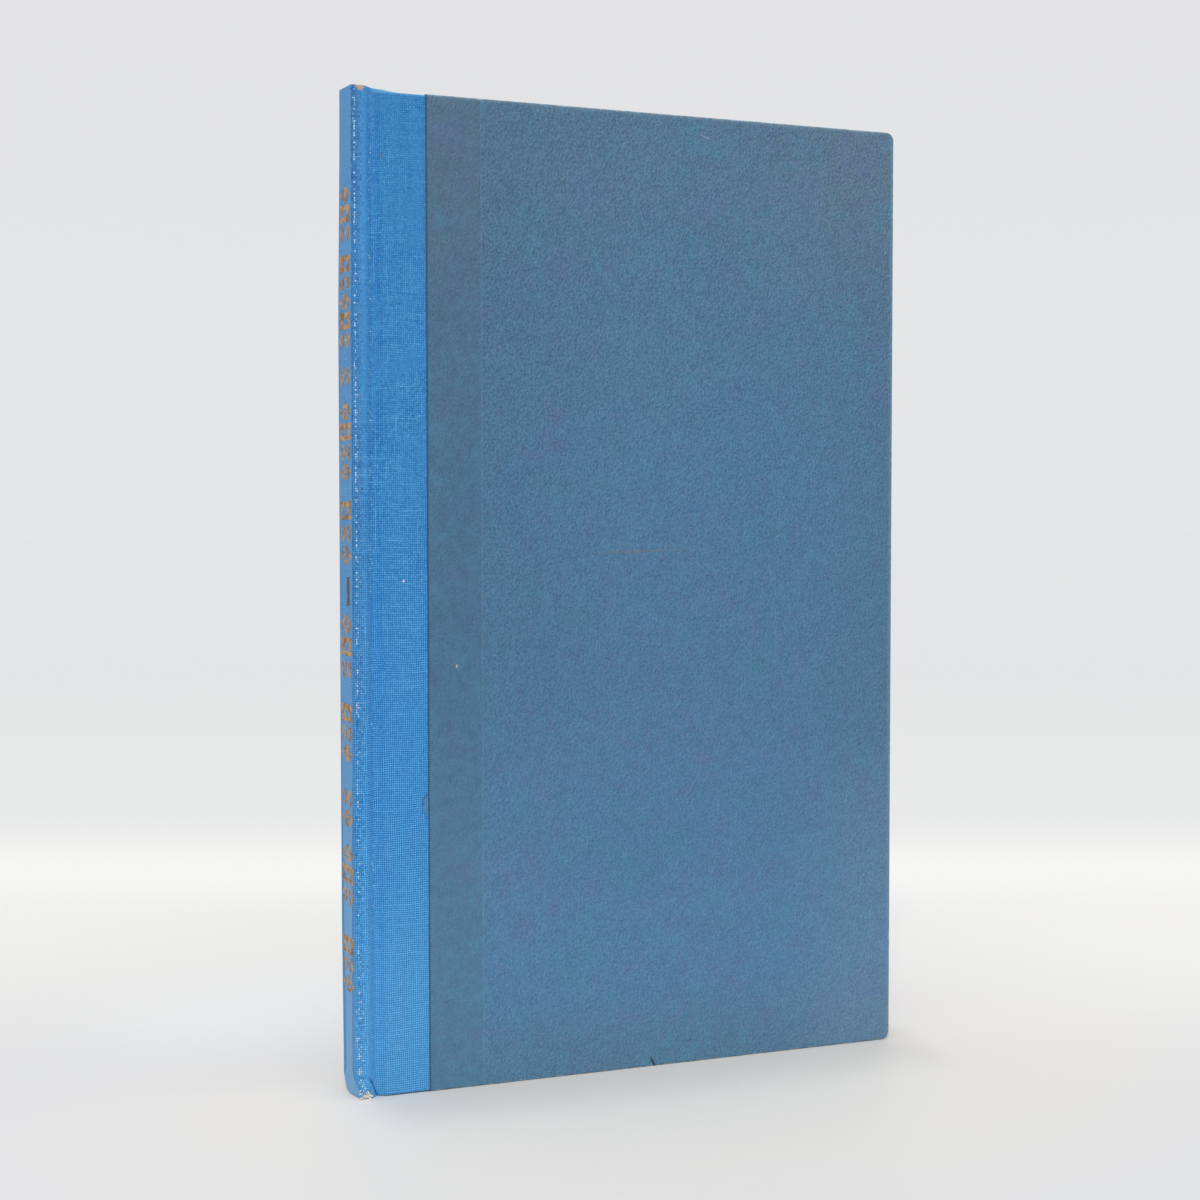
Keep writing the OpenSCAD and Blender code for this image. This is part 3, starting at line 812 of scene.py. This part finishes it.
def leaf_material():
    look = Look("aged_endpaper")
    x, _, z, rest = look.attribute("rest")
    spots = look.step(look.noise(rest, 0.25, 4.0, 0.7), 0.22, 0.34)
    fibre = look.noise(look.vector(x * 0.4, 0.0, z * 2.0), 1.0, 3.0)
    edge = look.step(from_edges(x, z), 14.0, 0.0)
    colour = look.mix(edge * 0.6 + look.noise(rest, 0.02, 2.0) * 0.4, (232, 222, 198), (212, 194, 158))
    colour = look.mix(spots * 0.35, colour, (176, 136, 92))
    colour = look.lighten(colour, 1.0 + fibre * 0.05)
    return look.finish(colour, 0.85, fibre, depth=0.02, strength=0.4, Specular_IOR_Level=0.25)


def page_material():
    look = Look("page_edges")
    x, y, z, rest = look.attribute("rest")
    per_mm = round(LEAVES / (2 * D_TEXT), 3)  # rounded down, which keeps the outer faces within the count
    number = (y * per_mm + LEAVES / 2).floor()
    tone = look.white(look.vector(number, 1.0, 3.0))
    run = look.noise(look.vector(x * 0.04, number * 5.1, z * 0.04), 1.0, 3.0)
    edge = look.step(from_edges(x, z), 6.0, 0.0)
    colour = look.mix(edge * 0.7 + tone * 0.2, (230, 220, 194), (206, 184, 142))
    dust = look.step(z, 217.5, 219.0) * look.step(look.noise(rest, 0.15, 4.0), -0.2, 0.3)
    colour = look.mix(dust * 0.35, colour, (150, 136, 114))
    colour = look.lighten(colour, 0.9 + tone * 0.12 + run * 0.2)
    return look.finish(colour, 0.88, run, depth=0.02, strength=0.4, Specular_IOR_Level=0.2)


def gilt_material():
    look = Look("worn_gilt")
    _, y, z, rest = look.attribute("rest")
    fine, broad = look.noise(rest, 2.0, 3.0), look.noise(rest, 0.4, 2.0)
    weave = (y * 6.83).sin() * (z * 6.28).sin() * 0.5 + 0.5
    colour = look.mix(look.step(fine + broad, -0.25, 0.25), (104, 70, 44), (196, 154, 100))
    gone = look.step(fine * 0.9 + broad * 0.8 - weave * 0.12, 0.18, 0.36)
    colour = look.mix(gone * 0.8, colour, (88, 126, 160))
    dark = look.step(look.noise(rest, 0.9, 2.0), 0.1, 0.28)
    colour = look.mix(dark * 0.6, colour, (62, 52, 50))
    top, foot = GILT[DASH]
    dash = look.step(z, foot - 0.4, foot + 0.1) * look.step(z, top + 0.4, top - 0.1)
    colour = look.mix(dash * look.step(fine, -0.4, 0.05) * 0.95, colour, (26, 20, 28))
    return look.finish(colour, 0.5, weave, depth=0.04, strength=0.5, Metallic=0.15)


def plain_material(name, dark, light, scale, depth=0.05, stretch=(1.0, 1.0, 1.0)):
    """Fibrous board, card or thread: two tones mixed by noise, with a rough surface."""
    look = Look(name)
    coordinates = look.out(look.node("TexCoord"), "Object")
    mapped = look.out(look.node("Mapping", {"Vector": coordinates, "Scale": [k / MM for k in stretch]}))
    noise = look.noise(mapped, scale, 4.0, 0.65)
    colour = look.mix(look.step(noise, -0.3, 0.3), dark, light)
    return look.finish(colour, 0.9, noise, depth, strength=0.6, Specular_IOR_Level=0.2)


def mull_material():
    look = Look("mull")
    x, _, z = look.parts(look.out(look.node("TexCoord"), "Object"))
    turn = math.pi / 0.0009  # one thread in 0.9 mm
    threads = (x * turn).sin().abs().max((z * turn).sin().abs())
    colour = look.mix(look.step(threads, 0.6, 0.95), (178, 160, 120), (226, 220, 200))
    return look.finish(colour, 0.9, threads, depth=0.08, strength=0.6, Specular_IOR_Level=0.2)


cloth_look, paper_look = cloth_material(), paper_material()
leaf_look, page_look = leaf_material(), page_material()


def at(x, y):
    """A place at half the cover's height, in metres."""
    return (x * MM, y * MM, HALF_HEIGHT)


# Quarter cloth in two pieces, which meet on the spine
front_strip = np.linspace(SEAM, SPINE_R - D_SPINE, 15)[:-1]
front_cloth = cloth_piece("quarter_cloth_front", -1, front_strip, cloth_look)
back_cloth = cloth_piece("quarter_cloth_back", 1, [SEAM], cloth_look)
for piece, side, nodes in ((front_cloth, -1, ("spine_cloth", "front_cloth")), (back_cloth, 1, ("back_cloth",))):
    at(X_ROLL, side * D_SPINE)
    at(X_EDGE, side * D_SPINE)
    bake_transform(piece)
    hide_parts(*nodes)

for side, name in ((-1, "front"), (1, "back")):
    paper = paper_piece(name + "_side_paper", side, paper_look)
    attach(paper, name + "_cover")
    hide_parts(name + "_paper")
    leaf = leaf_piece(name + "_free_endpaper", side, leaf_look)
    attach(leaf, "root")
    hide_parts(name + "_flyleaf")
    pasted = pastedown_piece(name + "_pasted_endpaper", side, leaf_look)
    at(X_BEND, side * D_INNER)
    at(X_EDGE, side * D_INNER)
    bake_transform(pasted)
    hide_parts(name + "_pastedown")

pages = page_piece("sewn_pages", page_look)
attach(pages, "root")
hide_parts("text_block")

gilt = gilt_piece("gilt_ornament", gilt_material())
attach(gilt, "root")

# Each thread: place, direction, length, radius
FRAYS = [
    ((-66.1, -6.25, 0.6), (0.3, -0.7, 0.4), 1.0, 0.26), ((-65.5, -6.3, 0.4), (0.8, -0.4, 0.5), 1.2, 0.28),
    ((-64.9, -6.35, 0.9), (-0.2, -0.6, 0.6), 0.9, 0.26), ((-64.6, -6.1, 0.5), (0.3, -0.8, 0.5), 0.8, 0.22),
    ((-66.5, -6.1, 1.1), (-0.4, -0.8, 0.3), 0.8, 0.16), ((-65.3, -6.3, 1.5), (0.7, -0.3, 0.5), 1.0, 0.18),
    ((-65.9, -6.0, 0.3), (-0.8, -0.5, 0.1), 1.2, 0.18), ((-66.9, -6.2, 1.8), (0.2, -0.7, 0.7), 0.7, 0.14),
    ((-64.9, -6.3, 0.3), (0.4, -0.8, -0.2), 0.9, 0.24),
]
thread_look = plain_material("bare_threads", (206, 196, 174), (242, 237, 224), 2.0)
frays = thread_piece("frayed_threads", FRAYS, thread_look, seed=5)
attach(frays, "root")

card = card_piece("curved_spine_card", plain_material("grey_card", (150, 132, 100), (186, 170, 138), 1.2))
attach(card, "root")
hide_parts("spine_card")

# Materials of the CAD pieces that stay
board_look = plain_material("strawboard", (138, 112, 74), (176, 152, 108), 0.9, 0.1, (1.0, 4.0, 1.0))
mull_look = mull_material()
for node, material in (
    ("front_board", board_look), ("back_board", board_look),
    ("spine_mull", mull_look), ("front_mull", mull_look), ("back_mull", mull_look),
):
    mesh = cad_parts[node].data
    mesh.materials.clear()
    mesh.materials.append(material)


# Floor: pale, with a painted shadow along the tail edge, painted light in front of the object and behind its spine
# that lessens its shadow, and the white band and the backdrop's tone painted behind the object. Places here are in
# metres.
def floor_material():
    look = Look("floor")
    x, y, _ = look.parts(look.out(look.node("NewGeometry"), "Position"))
    behind = x * 0.3778 + y * 0.9259  # away from the camera
    camera_ray = look.out(look.node("LightPath"), "Is Camera Ray")
    band = look.mix(look.step(behind, 0.25, 0.39), (246, 246, 244), (232, 233, 233))
    band = look.mix(look.step(behind, 0.4, 1.3), band, (226, 228, 229))
    far = look.step(distance(x, y), 0.5, 1.6)
    shown = look.step(behind, 0.16, 0.25)
    away = look.mix(far, band, (228, 229, 230))
    # Painted light in front of the object, which lessens its shadow there
    near = distance(x * 0.5**0.5, y + 0.03)
    ground = look.mix(look.step(behind, -0.06, 0.15), (228, 228, 230), (247, 246, 243))
    ground = look.mix(look.step(near, 0.12, 0.03), ground, (240, 236, 230))
    # Painted light behind the spine, which lessens the object's shadow there
    left = distance(x + 0.06, y - 0.08)
    ground = look.mix(look.step(left, 0.075, 0.01) * 0.5, ground, (255, 255, 255))
    # Painted contact shadow along the object's tail edge
    foot = look.step(y, -0.04, -0.012) * look.step(y, 0.012, 0.0) * look.step((x - 0.004).abs(), 0.074, 0.062)
    ground = look.mix(foot * 0.5, ground, (212, 209, 202))
    diffuse = look.node("BsdfPrincipled", {"Base Color": ground, "Roughness": 0.5, "Specular IOR Level": 0.2})
    emission = look.node("Emission", {"Color": away, "Strength": 1.0})
    mix = look.node("MixShader", {0: shown.max(far) * camera_ray})
    look.tree.links.new(diffuse.outputs[0], mix.inputs[1])
    look.tree.links.new(emission.outputs[0], mix.inputs[2])
    look.tree.links.new(mix.outputs[0], look.output.inputs["Surface"])
    return look.material


def floor_piece():
    mesh = bpy.data.meshes.new("floor")
    half, low = 12.0, -0.00003  # metres
    corners = [(a * half, b * half, low) for a, b in ((-1, -1), (1, -1), (1, 1), (-1, 1))]
    mesh.from_pydata(corners, [], [(0, 1, 2, 3)])
    mesh.materials.append(floor_material())
    floor = bpy.data.objects.new("floor", mesh)
    bpy.context.scene.collection.objects.link(floor)


floor_piece()


# World: soft light from all round, stronger from above and from the camera's side, and the backdrop's tone for the
# rays that would see it
class WorldLook(Look):
    def __init__(self, world):
        world.use_nodes = True
        self.tree = world.node_tree
        self.tree.nodes.clear()
        self.output = self.tree.nodes.new("ShaderNodeOutputWorld")


world = bpy.data.worlds.new("studio")
bpy.context.scene.world = world
sky = WorldLook(world)
_, dy, dz = sky.parts(sky.out(sky.node("TexCoord"), "Generated"))
level = 0.66 + dz * 0.2 - dy * 0.25
path = sky.node("LightPath")
seen = (sky.out(path, "Is Camera Ray") + sky.out(path, "Is Glossy Ray") + sky.out(path, "Is Transmission Ray")).min(1.0)
backdrop = sky.mix(sky.step(dz, 0.0, 0.35), (229, 230, 231), (226, 226, 228))
colour = sky.mix(seen, sky.vector(level, level, level), backdrop)
background = sky.node("Background", {"Color": colour, "Strength": 1.0})
sky.tree.links.new(background.outputs[0], sky.output.inputs["Surface"])

# Softbox above, in front of the cover and to the left, aimed at the book
lamp = bpy.data.lights.new("softbox", "AREA")
lamp.shape, lamp.size, lamp.size_y, lamp.energy = "RECTANGLE", 0.55, 0.55, 26.5
box = bpy.data.objects.new("softbox", lamp)
bpy.context.scene.collection.objects.link(box)
place, aim = Vector((-0.805, -1.84, 2.157)), Vector((0.0, 0.0, 0.1))
box.matrix_world = Matrix.Translation(place) @ (aim - place).to_track_quat("-Z", "Y").to_matrix().to_4x4()
